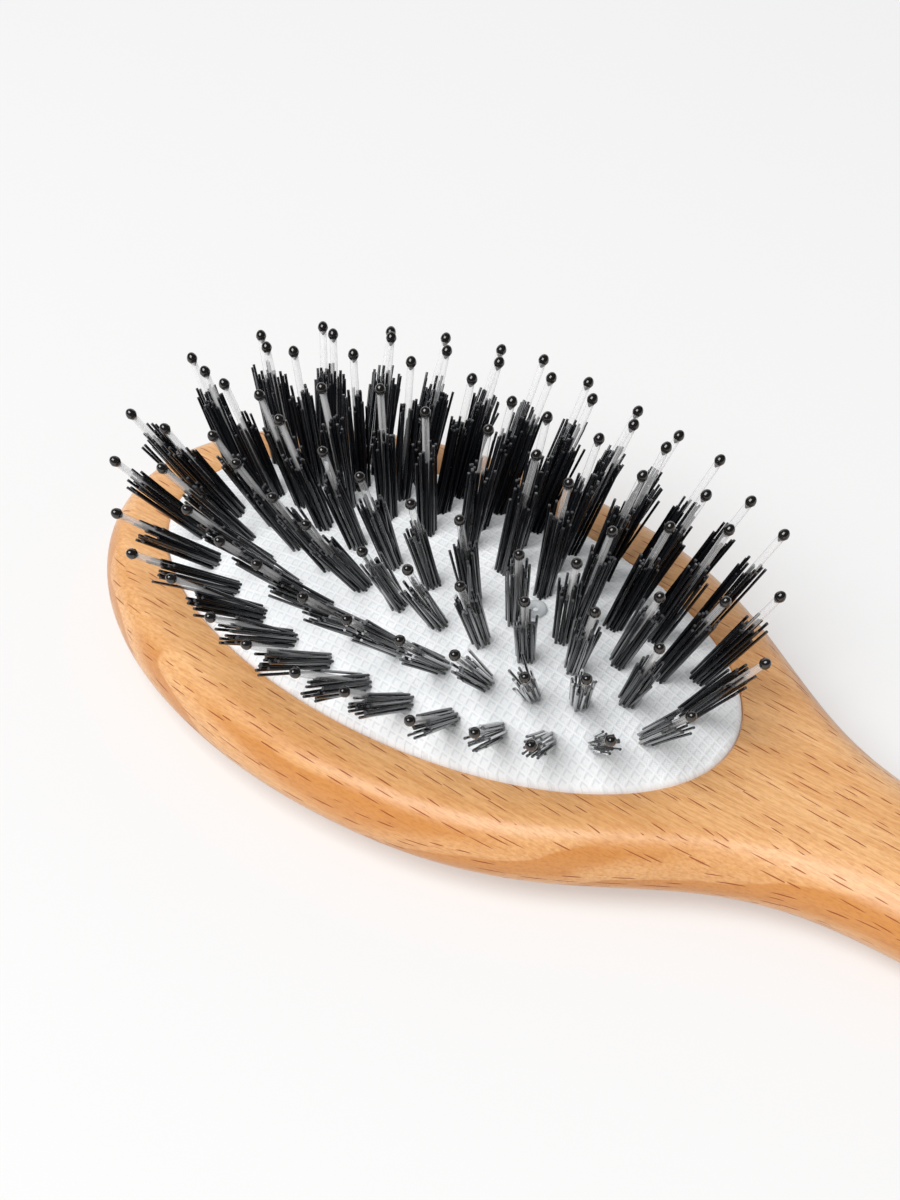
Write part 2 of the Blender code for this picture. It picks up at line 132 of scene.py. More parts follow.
# Rays of the beech: cells in a metre along and across the grain, and the share of cells that hold a ray
RAY_CELLS = (180, 520)
RAY_SHARE = 0.90
SHORT_RAY_CELLS = (420, 1300)
SHORT_RAY_SHARE = 0.80

# Heights of the relief that is only shaded
WOOD_RELIEF = 0.00004
CANVAS_RELIEF = 0.00005
NYLON_RELIEF = 0.00001
VENT_RELIEF = 0.00002

# Faint painted glow of the canvas's own, which lifts the shade between the tufts
CANVAS_GLOW = 0.09

# Bristles, pins and balls: facets, tapers and how the chances and the lean of the near pins are bent
PIN_LINES = 2
BRISTLE_SIDES = 6
BRISTLE_POINTS = 5
PIN_SIDES = 10
BALL_SEGMENTS = 14
BALL_RINGS = 10
BALL_TAPER_SHARE = 0.50
TAPER_SHARE = 0.03
TUFT_UNEVENNESS_SHARE = 0.35
NEAR_POWER = 4.0
WILD_POWER = 14.0
WILD_SHARE = 13.0

# Vent profile from its bore round the rim, as shares of its radius
VENT_BORE_SHARE = 0.22
VENT_STEPS = 24
VENT_PROFILE_SHARES = (
    (0.22, -0.30), (0.34, -0.16), (0.52, -0.06), (0.72, -0.02), (0.88, -0.08),
    (0.97, -0.20), (1.0, -0.36), (0.93, -0.46), (0.65, -0.50), (0.65, -1.6),
)

# Stage: half side of the floor and its gap, then place, width and height of each lamp
FLOOR_HALF_SIDE = 4.0
FLOOR_GAP = 0.00005
KEY_LAMP = ((-0.12, -0.60, 1.13), (0.90, 0.90))
BACKDROP_LAMP = ((-0.80, 1.02, 0.55), (2.6, 1.1))
BACKGROUND = 0.92
WHITE = (1, 1, 1, 1)

# Kind of node socket for each kind of value
SOCKETS = {float: "NodeSocketFloat", int: "NodeSocketInt", bpy.types.Material: "NodeSocketMaterial"}


# Settings


def metres(name, description, default):
    """Property that holds a length."""
    return FloatProperty(name=name, description=description, default=default, unit="LENGTH")


def degrees(name, description, default):
    """Property that holds an angle, with its default in degrees."""
    return FloatProperty(name=name, description=description, default=math.radians(default), subtype="ANGLE")


def plain(name, description, default):
    """Property that holds a number without a unit."""
    return FloatProperty(name=name, description=description, default=default)


def tint(name, description, default):
    """Property that holds a colour."""
    return FloatVectorProperty(
        name=name, description=description, default=default, subtype="COLOR", min=0, max=1
    )


class BodySettings(bpy.types.PropertyGroup):
    """Sizes and colours of the beech body."""

    neck_width: metres("Neck width", "Width of the neck", 0.0236)
    handle_width: metres("Handle width", "Greatest width of the handle", 0.0270)
    shoulder_run: metres("Shoulder run", "From the pad's end to the neck", 0.0320)
    face_rounding: metres("Face rounding", "Rounded edge round the head's face", 0.0050)
    back_rounding: metres("Back rounding", "Rounded edge round the head's back", 0.0160)
    chamber_depth: metres("Chamber depth", "Depth of the air chamber", 0.0080)
    mouth_rounding: metres("Mouth rounding", "Rounded edge of the pocket", 0.0004)
    pale: tint("Pale wood", "Early wood", (0.87, 0.505, 0.230))
    warm: tint("Warm wood", "Late wood", (0.63, 0.265, 0.068))
    pore: tint("Rays", "Short dark rays", (0.26, 0.032, 0.003))
    grain_turn: degrees("Grain turn", "Grain against the handle", -4)


class PadSettings(bpy.types.PropertyGroup):
    """Sizes and colours of the canvas-faced rubber pad."""

    length: metres("Length", "Length of the pad", 0.0980)
    width: metres("Width", "Width of the pad", 0.0514)
    crown: metres("Crown", "Height of the pad's middle", 0.0105)
    thickness: metres("Thickness", "Rubber and canvas", 0.0016)
    gap: metres("Gap", "Gap between pad and wood", 0.00018)
    lip: metres("Lip", "Wood above the pad's bead", 0.0016)
    groove_depth: metres("Groove", "Undercut for the bead", 0.0014)
    bead: metres("Bead", "Height of the pad's bead", 0.0020)
    cell: metres("Cell", "Side of a canvas cell", 0.00138)
    relief: metres("Relief", "Height of a raised thread", 0.00008)
    pucker: metres("Pucker", "Ridge round a tuft", 0.00012)
    pucker_radius: metres("Pucker radius", "Radius of that ridge", 0.0020)
    colour: tint("Canvas", "Face of a cell", (0.935, 0.95, 0.96))
    # Greyer canvas colour: used for fuzz and tone, and as painted shade beside the threads and in the cells
    shade: tint("Canvas shade", "Fuzz and hollows", (0.58, 0.62, 0.65))


class TuftSettings(bpy.types.PropertyGroup):
    """Places of the tufts and sizes of their bristles."""

    end_margin: metres("End margin", "From the pad's end to the tufts", 0.0070)
    side_margin: metres("Side margin", "From the pad's side to the tufts", 0.0047)
    count: IntProperty(name="Bristles", description="Bristles in a tuft", default=20, min=1)
    tuft_radius: metres("Tuft radius", "Radius of a tuft at its root", 0.00138)
    hole_share: plain("Hole share", "Room for the pin, as a share of the tuft's radius", 0.28)
    radius: metres("Radius", "Radius of a bristle", 0.00022)
    length: metres("Length", "Mean length of the bristles", 0.0138)
    unevenness: metres("Unevenness", "Spread of the lengths", 0.0034)
    flare: plain("Flare", "Spread of a tuft, as a tangent", 0.027)
    stray: plain("Stray", "Random lean of a bristle, as a tangent", 0.011)
    bend: metres("Bend", "Bow of a bristle at its tip", 0.00015)
    root_depth: metres("Root depth", "Depth of the roots below the canvas", 0.0009)
    wander: plain("Wander", "Random lean of a whole tuft, as a tangent", 0.045)
    seed: IntProperty(name="Seed", description="Seed of the uneven bristles", default=7)


class PinSettings(bpy.types.PropertyGroup):
    """Sizes of the clear pins and their ball tips."""

    length: metres("Length", "From the root to the ball's centre", 0.0196)
    unevenness: metres("Unevenness", "Spread of the lengths", 0.0018)
    far_extra: metres("Far extra", "Length added towards +Y", 0.0019)
    near_ease: plain("Near ease", "Lean towards -Y that is left out", 0.44)
    radius: metres("Radius", "Radius of the shaft", 0.00056)
    ball_radius: metres("Ball radius", "Radius of the tip", 0.00082)
    ball_stretch: plain("Ball stretch", "Height of the tip over its width", 1.36)
    stray: plain("Stray", "Random lean of a pin, as a tangent", 0.035)
    seed: IntProperty(name="Seed", description="Seed of the uneven pins", default=3)


class StageSettings(bpy.types.PropertyGroup):
    """Camera, lamps and floor."""

    azimuth: degrees("Azimuth", "Turn of the camera round the brush", 38.20)
    elevation: degrees("Elevation", "Rise of the camera over the floor", 45.31)
    roll: degrees("Roll", "Roll of the camera", -3.06)
    distance: metres("Distance", "From the camera to its target", 0.3462)
    target: FloatVectorProperty(
        name="Target", description="Middle of the picture", default=(-0.00053, 0.0026, 0.0140), subtype="XYZ"
    )
    lens: plain("Lens", "Focal length in millimetres", 70.0)
    floor_colour: tint("Floor", "Pale floor", (0.50, 0.50, 0.50))
    floor_glow: plain("Floor glow", "Light from the floor itself", 0.37)
    key_power: plain("Key", "Watts of the soft main lamp", 16.5)
    backdrop_power: plain("Backdrop", "Watts of the pale backdrop", 8.0)
    sky_strength: plain("Sky", "Strength of the even white light", 0.40)


# Node graphs


class Value:
    """A node's output that takes part in Python expressions."""

    def __init__(self, graph, socket):
        self.graph = graph
        self.socket = socket

    def other(self, name):
        """Another output of the same node."""
        return Value(self.graph, self.socket.node.outputs[name])

    def __add__(self, other):
        return self.graph.math("ADD", self, other)

    def __sub__(self, other):
        return self.graph.math("SUBTRACT", self, other)

    def __rsub__(self, other):
        return self.graph.math("SUBTRACT", other, self)

    def __mul__(self, other):
        return self.graph.math("MULTIPLY", self, other)

    def __truediv__(self, other):
        return self.graph.math("DIVIDE", self, other)

    def __pow__(self, other):
        return self.graph.math("POWER", self, other)

    __radd__ = __add__


class Graph:
    """Adds nodes to a shader or geometry tree."""

    def __init__(self, tree):
        self.tree = tree

    def node(self, kind, settings=None, inputs=None, output=0):
        """Adds a node with its settings, then its inputs, and returns one of its outputs."""
        made = self.tree.nodes.new(kind)
        for name, value in (settings or {}).items():
            setattr(made, name, value)
        self.feed(made, inputs or {})
        return Value(self, made.outputs[output])

    def feed(self, node, inputs):
        """Links values to a node's sockets, and sets the sockets that get a constant."""
        for name, value in inputs.items():
            if isinstance(value, Value):
                self.tree.links.new(value.socket, node.inputs[name])
            else:
                node.inputs[name].default_value = value

    def math(self, operation, *values):
        """Adds a Math node."""
        return self.node("ShaderNodeMath", {"operation": operation}, dict(enumerate(values)))

    def vector(self, operation, *values):
        """Adds a Vector Math node."""
        return self.node("ShaderNodeVectorMath", {"operation": operation}, dict(enumerate(values)))

    def scaled(self, vector, factor):
        """Multiplies a vector by a number."""
        return self.node("ShaderNodeVectorMath", {"operation": "SCALE"}, {"Vector": vector, "Scale": factor})

    def split(self, vector):
        """The three parts of a vector."""
        parts = self.node("ShaderNodeSeparateXYZ", inputs={"Vector": vector})
        return [parts.other(axis) for axis in "XYZ"]

    def joined(self, x, y, z):
        """Vector of three parts."""
        return self.node("ShaderNodeCombineXYZ", inputs={"X": x, "Y": y, "Z": z})

    def ramp(self, value, low, high, to_low=0.0, to_high=1.0):
        """Maps a range smoothly onto another."""
        inputs = {"Value": value, 1: low, 2: high, 3: to_low, 4: to_high}
        return self.node("ShaderNodeMapRange", {"interpolation_type": "SMOOTHSTEP"}, inputs)

    def colour(self, factor, first, second):
        """Mixes two colours."""
        inputs = {"Factor": factor, 6: opaque(first), 7: opaque(second)}
        return self.node("ShaderNodeMix", {"data_type": "RGBA"}, inputs, output=2)

    def attribute(self, name, output="Fac"):
        """Reads one of the piece's own attributes."""
        return self.node("ShaderNodeAttribute", {"attribute_name": name}, output=output)

    def place(self, scale, turn=(0, 0, 0)):
        """Object coordinates, turned and scaled."""
        objects = self.node("ShaderNodeTexCoord", output="Object")
        return self.node("ShaderNodeMapping", inputs={"Vector": objects, "Rotation": turn, "Scale": scale})

    def noise(self, scale, detail, turn=(0, 0, 0), roughness=0.5):
        """Noise on the Object coordinates, with its spots in a metre along each axis."""
        inputs = {"Vector": self.place(scale, turn), "Scale": 1.0, "Detail": detail, "Roughness": roughness}
        return self.node("ShaderNodeTexNoise", inputs=inputs)

    def bump(self, height, distance):
        """Normal raised by a height."""
        return self.node("ShaderNodeBump", inputs={"Height": height, "Distance": distance, "Strength": 1.0})


def opaque(colour):
    """Adds a full alpha to a plain colour."""
    return colour if isinstance(colour, Value) else (*colour[:3], 1)


def new_material(name):
    """Starts a material; returns it with its graph and its Principled shader."""
    material = bpy.data.materials.new(name)
    material.use_nodes = True
    tree = material.node_tree
    return material, Graph(tree), tree.nodes["Principled BSDF"]


# Materials


def beech_material(settings):
    """Lacquered beech: warm growth bands, fine fibres and short dark rays; the rounded sides get more of the
    warm colour, partly as stronger figure and partly as painted shade.
    """
    material, graph, shader = new_material("lacquered_beech")
    turn = (0, 0, -settings.grain_turn)
    x, y, z = graph.split(graph.place((1, 1, 1), turn))
    normal_x, normal_y, normal_z = graph.split(graph.node("ShaderNodeTexCoord", output="Normal"))
    # How far the surface turns from facing up; this drives the sides' stronger figure and their painted shade
    side = graph.ramp(graph.math("ABSOLUTE", normal_z), 0.88, 0.45)
    tilt = graph.math("SNAP", graph.math("ARCTAN2", normal_y, normal_z) + TILT_STEP / 2, TILT_STEP)
    level = y * graph.math("COSINE", tilt) - z * graph.math("SINE", tilt)
    flank = graph.ramp(graph.math("ABSOLUTE", normal_x), 0.85, 0.50, 0.15, 1.0)
    wander = graph.noise((14, 70, 70), 2.0, turn)
    across = y - RING_SIDE
    below = z + RING_DROP
    radius = graph.math("SQRT", across * across + below * below)
    growth = graph.math("FRACT", radius * (1 / RING_PITCH) + x * RING_SLOPE + wander * RING_WANDER)
    band = graph.ramp(growth, 0.20, 0.92) * graph.ramp(growth, 1.0, 0.92)
    tone = graph.noise((22, 75, 75), 3.0, turn)
    fibre = graph.noise((90, 2600, 2600), 4.0, turn, roughness=0.65)
    fleck = graph.noise((900, 3200, 3200), 2.0, turn)
    ray = ray_mask(graph, x, level, RAY_CELLS, RAY_SHARE) * flank
    short_ray = ray_mask(graph, x, level, SHORT_RAY_CELLS, SHORT_RAY_SHARE) * flank
    # Painted shade: the sides take more of the warm colour and darken, on top of their stronger growth bands
    warm_share_and_side_shade = band * (0.20 + side * 0.88) + graph.ramp(tone, 0.35, 0.7) * 0.38 + side * 0.06
    wood = graph.colour(warm_share_and_side_shade, settings.pale, settings.warm)
    wood = graph.colour(graph.ramp(fibre, 0.38, 0.64) * 0.52, wood, settings.warm)
    wood = graph.colour(graph.ramp(fleck, 0.42, 0.68) * 0.15, wood, settings.pore)
    wood = graph.colour(short_ray * 0.30, wood, settings.pore)
    wood = graph.colour(ray * 0.84, wood, settings.pore)
    relief = fibre * 0.3 + fleck * 0.3 - ray * 0.4 - short_ray * 0.2
    graph.feed(shader, {
        "Base Color": wood,
        "Roughness": 0.38 + fibre * 0.10 + ray * 0.2,
        "Specular IOR Level": 0.35,
        "Coat Weight": 0.50 - ray * 0.3,
        "Coat Roughness": 0.28,
        "Coat IOR": 1.45,
        "Normal": graph.bump(relief, WOOD_RELIEF),
    })
    return material


def ray_mask(graph, along, level, cells, kept_share):
    """Mask of thin rays along the grain, one to a cell."""
    place = graph.joined(along * cells[0], level * cells[1], 0.0)
    spots = graph.node("ShaderNodeTexVoronoi", {"voronoi_dimensions": "2D"}, {"Vector": place, "Scale": 1.0})
    away = graph.split(graph.vector("SUBTRACT", place, spots.other("Position")))
    dice = graph.node("ShaderNodeSeparateColor", inputs={"Color": spots.other("Color")})
    kept = graph.math("LESS_THAN", dice.other("Red"), kept_share)
    length = away[0] / (dice.other("Green") * 0.28 + 0.20)
    width = away[1] / (dice.other("Blue") * 0.024 + 0.038)
    return kept * graph.ramp(length * length + width * width, 1.0, 0.45)


def canvas_material(settings):
    """White canvas in small pressed squares, over rubber, with painted shade beside its raised threads and in
    its cells, and a faint painted glow.
    """
    material, graph, shader = new_material("canvas")
    x, y = graph.split(graph.attribute("weave", output="Vector"))[:2]
    lines = [graph.ramp(graph.math("PINGPONG", place, 0.5), 0.2, 0.05) for place in (x, y)]
    thread = graph.math("MAXIMUM", *lines)
    # Painted shadow: a dark band in the cell beside each raised thread, on one side, where the thread would
    # shade it
    shadow_side = [graph.math("FRACT", place) for place in (x - 0.12, 0.88 - y)]
    hollow = graph.math("MAXIMUM", *[graph.ramp(place, 0.30, 0.05) for place in shadow_side]) * (1 - thread)
    fuzz = graph.noise((2600, 2600, 2600), 5.0)
    cloud = graph.noise((160, 160, 160), 3.0)
    waves = [graph.math("SINE", place * (2 * math.pi * THREADS_PER_CELL)) for place in (x, y)]
    face = graph.colour(graph.ramp(cloud, 0.35, 0.75) * 0.15, settings.colour, settings.shade)
    # Painted shade: the cells between the raised threads are a little darker, and the band beside each thread
    # darker still
    face = graph.colour((1 - thread) * 0.08 + hollow * 0.40, face, settings.shade)
    face = graph.colour(graph.ramp(fuzz, 0.5, 0.8) * 0.15, face, settings.shade)
    relief = waves[0] * waves[1] * 0.25 + fuzz * 0.8 + thread * 0.6
    graph.feed(shader, {
        "Base Color": face,
        "Roughness": 0.70 + fuzz * 0.2,
        "Specular IOR Level": 0.25,
        "Sheen Weight": 0.15,
        "Sheen Roughness": 0.5,
        # Painted light: the canvas glows faintly in its own colour, lifting the shade between the tufts
        "Emission Color": face,
        "Emission Strength": CANVAS_GLOW,
        "Normal": graph.bump(relief, CANVAS_RELIEF),
    })
    return material


def nylon_material():
    """Glossy black nylon, paler where it is cut."""
    material, graph, shader = new_material("black_nylon")
    strand = graph.attribute("strand")
    cut_end = graph.ramp(graph.attribute("along"), 0.975, 1.0)
    black = graph.colour(strand, (0.004, 0.004, 0.005), (0.012, 0.013, 0.016))
    streak = graph.noise((4000, 4000, 500), 2.0)
    graph.feed(shader, {
        "Base Color": graph.colour(cut_end * 0.7, black, (0.10, 0.10, 0.105)),
        "Roughness": 0.07 + streak * 0.08 + cut_end * 0.2,
        "Specular IOR Level": 0.30,
        "Specular Tint": (0.86, 0.93, 1, 1),
        "Coat Weight": graph.ramp(strand, 0.50, 0.75),
        "Coat Roughness": 0.06,
        "Coat IOR": 1.65,
        "Normal": graph.bump(streak, NYLON_RELIEF),
    })
    return material


def clear_material():
    """Clear nylon with faint lines along the pin, and painted shade at its rims where it turns away from the
    view.
    """
    material, graph, shader = new_material("clear_nylon")
    lines = graph.math("SINE", graph.attribute("around") * (2 * math.pi * PIN_LINES))
    streak = graph.ramp(lines, -0.2, 1.0)
    # Painted shade: the pin is darker and less clear where it turns away from the view, in place of the
    # refraction at its rims
    edge = graph.ramp(graph.node("ShaderNodeLayerWeight", inputs={"Blend": 0.5}, output=1), 0.55, 0.95)
    haze = graph.noise((900, 900, 300), 2.0)
    glass_and_painted_edges = graph.colour(edge, (0.93, 0.93, 0.94), (0.40, 0.385, 0.38))
    graph.feed(shader, {
        "Base Color": graph.colour(haze * 0.3, glass_and_painted_edges, (0.70, 0.70, 0.71)),
        "Roughness": 0.10 + haze * 0.08,
        "Specular IOR Level": 0.6,
        "Alpha": 0.17 + streak * 0.32 + edge * 0.16,
    })
    return material


def ball_material():
    """Polished black tips."""
    material, graph, shader = new_material("ball_tips")
    mottle = graph.noise((700, 700, 700), 2.0)
    graph.feed(shader, {
        "Base Color": graph.colour(mottle, (0.009, 0.008, 0.008), (0.018, 0.016, 0.015)),
        "Roughness": 0.05 + mottle * 0.06,
        "Specular IOR Level": 0.85,
    })
    return material


def vent_material():
    """Pale milky plastic."""
    material, graph, shader = new_material("vent_plastic")
    mottle = graph.noise((1500, 1500, 1500), 3.0)
    graph.feed(shader, {
        "Base Color": graph.colour(mottle, (0.62, 0.65, 0.67), (0.76, 0.78, 0.79)),
        "Roughness": 0.35 + mottle * 0.2,
        "Subsurface Weight": 0.15,
        "Subsurface Radius": (0.001, 0.001, 0.001),
        "Normal": graph.bump(mottle, VENT_RELIEF),
    })
    return material


def floor_material(stage):
    """Plain pale floor that glows like a light table, which keeps the brush's shadow faint."""
    material, graph, shader = new_material("pale_floor")
    graph.feed(shader, {
        "Base Color": opaque(stage.floor_colour),
        "Roughness": 0.9,
        "Specular IOR Level": 0.0,
        "Emission Color": WHITE,
        "Emission Strength": stage.floor_glow,
    })
    return material


# Meshes


def linked(name, data):
    """Puts a new object with this data in the scene."""
    made = bpy.data.objects.new(name, data)
    bpy.context.scene.collection.objects.link(made)
    return made


def finished(name, mesh, material):
    """Makes a piece at the origin from a finished mesh."""
    mesh.name = name
    mesh.materials.clear()
    mesh.materials.append(material)
    return linked(name, mesh)


def mesh_from(bm, sharp_angle=SHARP_ANGLE):
    """Turns a bmesh into a smooth-shaded mesh that faces outwards."""
    bmesh.ops.recalc_face_normals(bm, faces=bm.faces)
    if bm.calc_volume(signed=True) < 0:
        bmesh.ops.reverse_faces(bm, faces=bm.faces)
    mesh = bpy.data.meshes.new("piece")
    bm.to_mesh(mesh)
    bm.free()
    mesh.shade_smooth()
    mesh.set_sharp_from_angle(angle=sharp_angle)
    return mesh


def ring(half_length, half_width, height, steps):
    """Points of a level oval about the Z axis."""
    turns = [2 * math.pi * k / steps for k in range(steps)]
    return [Vector((half_length * math.cos(t), half_width * math.sin(t), height)) for t in turns]


def loft(rows, closed_rows=False):
    """Joins loops of points with quads; returns the bmesh and its grid of vertices."""
    bm = bmesh.new()
    grid = [[bm.verts.new(point) for point in row] for row in rows]
    after = grid[1:] + grid[:1] if closed_rows else grid[1:]
    for above, below in zip(grid, after):
        for j in range(len(above)):
            k = (j + 1) % len(above)
            bm.faces.new((above[j], above[k], below[k], below[j]))
    return bm, grid


def smooth_step(low, high, value):
    """Rises from 0 at low to 1 at high with level ends."""
    share = min(max((value - low) / (high - low), 0), 1)
    return share * share * (3 - 2 * share)


def body_outline(body, pad):
    """Plan outline of the body, round both sides."""
    neck_half, grip_half = body.neck_width / 2, body.handle_width / 2
    neck_reach = pad.length / 2 + body.shoulder_run
    grip_reach = HANDLE_REACH - grip_half
    run = grip_reach - neck_reach
    pull = grip_half * ROUND_END_SHARE
    ends = (
        (-HEAD_REACH, 0), (0, HEAD_HALF), (neck_reach, neck_half), (grip_reach, grip_half), (HANDLE_REACH, 0)
    )
    pulls = (
        ((-HEAD_REACH, HEAD_HALF * TIP_SHARES[0]), (-HEAD_REACH * TIP_SHARES[1], HEAD_HALF)),
        ((neck_reach * SHOULDER_SHARES[0], HEAD_HALF), (neck_reach * (1 - SHOULDER_SHARES[1]), neck_half)),
        ((neck_reach + run * GRIP_SHARES[0], neck_half), (grip_reach - run * GRIP_SHARES[1], grip_half)),
        ((grip_reach + pull, grip_half), (HANDLE_REACH, pull)),
    )
    half = []
    for start, pair, end, count in zip(ends, pulls, ends[1:], OUTLINE_POINTS):
        corners = [Vector((x, y, 0)) for x, y in (start, *pair, end)]
        half += interpolate_bezier(*corners, count)[:-1]
    half.append(Vector((HANDLE_REACH, 0, 0)))
    return half + [Vector((p.x, -p.y, 0)) for p in reversed(half[1:-1])]


def body_mesh(body, pad):
    """Lofts the beech head and handle, still without the pad's pocket."""
    outline = body_outline(body, pad)
    count = len(outline)
    pad_half = pad.length / 2
    neck_reach = pad_half + body.shoulder_run
    grip_reach = HANDLE_REACH - body.handle_width / 2
    side_height = FACE_HEIGHT * SIDE_HEIGHT_SHARE

    def depth(x, head_depth, share):
        grip = smooth_step(neck_reach, grip_reach, x)
        half_width = (body.neck_width + (body.handle_width - body.neck_width) * grip) / 2
        return head_depth + (half_width * share - head_depth) * smooth_step(pad_half, neck_reach, x)

    rows = []
    for step in range(-ROUNDING_STEPS, ROUNDING_STEPS + 1):
        angle = math.pi / 2 * step / ROUNDING_STEPS
        inwards = 1 - math.cos(angle)
        if step < 0:
            height = side_height * (1 + math.sin(angle))
            edge = (body.back_rounding, HANDLE_BACK_SHARE)
        else:
            height = side_height + (FACE_HEIGHT - side_height) * math.sin(angle)
            edge = (body.face_rounding, HANDLE_FACE_SHARE)
        row = []
        for k, point in enumerate(outline):
            along = outline[(k + 1) % count] - outline[k - 1]
            outwards = Vector((-along.y, along.x, 0)).normalized()
            x, y, _ = point - outwards * depth(point.x, *edge) * inwards
            row.append(Vector((x, y, height)))
        rows.append(row)
    bm, grid = loft(rows)
    for loop in (grid[0], grid[-1]):
        cap_with_strips(bm, loop)
    return mesh_from(bm)


def cap_with_strips(bm, loop):
    """Closes a loop that is symmetric about the XZ plane with strips across it."""
    for k in range(len(loop) // 2):
        corners = (loop[k], loop[k + 1], loop[-k - 1], loop[-k])
        bm.faces.new(list(dict.fromkeys(corners)))


def pad_ring(pad, border, height):
    """The pad's oval at a height, wider by a border."""
    return ring(pad.length / 2 + border, pad.width / 2 + border, height, MOUTH_POINTS)


def pocket_mesh(body, pad):
    """Cutter for the air chamber, its bead groove and its rounded mouth."""
    groove_top = FACE_HEIGHT - pad.lip
    groove_bottom = groove_top - pad.bead - pad.gap
    levels = [
        (0, FACE_HEIGHT - body.chamber_depth), (0, groove_bottom), (pad.groove_depth, groove_bottom),
        (pad.groove_depth, groove_top), (0, groove_top),
    ]
    for step in range(MOUTH_STEPS + 1):
        angle = math.pi / 2 * step / MOUTH_STEPS
        rise = body.mouth_rounding * math.sin(angle)
        levels.append((body.mouth_rounding * (1 - math.cos(angle)), FACE_HEIGHT - body.mouth_rounding + rise))
    levels.append((body.mouth_rounding, FACE_HEIGHT + pad.lip))
    bm, grid = loft([pad_ring(pad, *level) for level in levels])
    bm.faces.new(grid[0])
    bm.faces.new(grid[-1])
    return mesh_from(bm)


def cut(piece, cutter_mesh):
    """Cuts a piece with a mesh and applies the result."""
    tool = linked("tool", cutter_mesh)
    modifier = piece.modifiers.new("pocket", "BOOLEAN")
    modifier.operation = "DIFFERENCE"
    modifier.object = tool
    graph = bpy.context.evaluated_depsgraph_get()
    result = bpy.data.meshes.new_from_object(piece.evaluated_get(graph))
    piece.modifiers.clear()
    piece.data = result
    bpy.data.objects.remove(tool)
    result.shade_smooth()
    result.set_sharp_from_angle(angle=CUT_SHARP_ANGLE)


def bead_mesh(pad):
    """Ring of rubber that the wood's groove holds."""
    top = FACE_HEIGHT - pad.lip - pad.gap
    inner, outer = -pad.gap - pad.thickness, pad.groove_depth - pad.gap
    corners = ((inner, top), (outer, top), (outer, top - pad.bead), (inner, top - pad.bead))
    bm, grid = loft([pad_ring(pad, *corner) for corner in corners], closed_rows=True)
    return mesh_from(bm)


def vent_mesh():
    """Round plug with a soft rim and a hollow where its bore opens."""
    middle = (VENT_LOW + VENT_HIGH) / 2
    radius = (VENT_HIGH.x - VENT_LOW.x) / 2
    profile = [(radius * r, VENT_HIGH.z + radius * z) for r, z in VENT_PROFILE_SHARES]
    profile.append((radius * VENT_BORE_SHARE, VENT_LOW.z))
    bm, grid = loft([ring(r, r, z, VENT_STEPS) for r, z in profile], closed_rows=True)
    bmesh.ops.translate(bm, verts=bm.verts, vec=(middle.x, middle.y, 0))
    return mesh_from(bm, VENT_SHARP_ANGLE)


# Shape of the pad and places of the tufts


def rim_square(pad, x, y):
    """Square of the distance from the middle of the pad, 1 at its rim."""
    return (x / (pad.length / 2)) ** 2 + (y / (pad.width / 2)) ** 2


def crown_height(pad, x, y):
    """Height of the pad's face."""
    return FACE_HEIGHT + pad.crown * (1 - rim_square(pad, x, y) ** CROWN_POWER_SHARE)


def oval_angles(half_length, half_width, count, phase):
    """Parameters of points spaced evenly along an oval."""
    turns = np.linspace(0, 2 * math.pi, ARC_SAMPLES + 1)
    middles = (turns[1:] + turns[:-1]) / 2
    speeds = np.hypot(half_length * np.sin(middles), half_width * np.cos(middles))
    lengths = np.concatenate([[0], np.cumsum(speeds)])
    wanted = lengths[-1] * (np.arange(count) + phase) / count
    return np.interp(wanted, lengths, turns)


def tuft_roots(pad, tufts):
    """Root and lean of every tuft."""
    pitch = (pad.width / 2 - tufts.side_margin) / (len(RING_TUFTS) - 1 + CORE_PITCH_SHARE)
    roots = []
    for index, (count, phase) in enumerate(zip(RING_TUFTS, RING_PHASE_SHARES)):
        half_length = pad.length / 2 - tufts.end_margin - index * pitch
        half_width = pad.width / 2 - tufts.side_margin - index * pitch
        for angle in oval_angles(half_length, half_width, count, phase):
            x = half_length * math.cos(angle)
            y = half_width * math.sin(angle)
            square = rim_square(pad, x, y)
            along = LEAN_ALONG_SHARE * x / (pad.length / 2) * (1 + LEAN_ALONG_GROWTH_SHARE * square)
            across = LEAN_ACROSS_SHARE * y / (pad.width / 2) * (1 + LEAN_ACROSS_GROWTH_SHARE * square)
            lean = Vector((along, across, 1)).normalized()
            roots.append((Vector((x, y, crown_height(pad, x, y))), lean))
    return roots


def lattice(pad, half):
    """Places of the canvas lines from rim to rim, which of them are raised, and their cells."""
    reach = np.linspace(0, 1, ARC_SAMPLES)
    heights = pad.crown * (1 - reach ** (2 * CROWN_POWER_SHARE))
    lengths = np.concatenate([[0], np.cumsum(np.hypot(np.diff(reach) * half, np.diff(heights)))])
    count = math.ceil(lengths[-1] / pad.cell) + 1
    cells = np.array([k + share for k in range(-count, count) for share in CELL_SHARES])
    arcs = cells * pad.cell
    places = np.interp(np.abs(arcs), lengths, reach * half) + np.maximum(np.abs(arcs) - lengths[-1], 0)
    raised = np.array([share == 0 for k in range(-count, count) for share in CELL_SHARES], dtype=float)
    return np.sign(arcs) * places, raised, cells


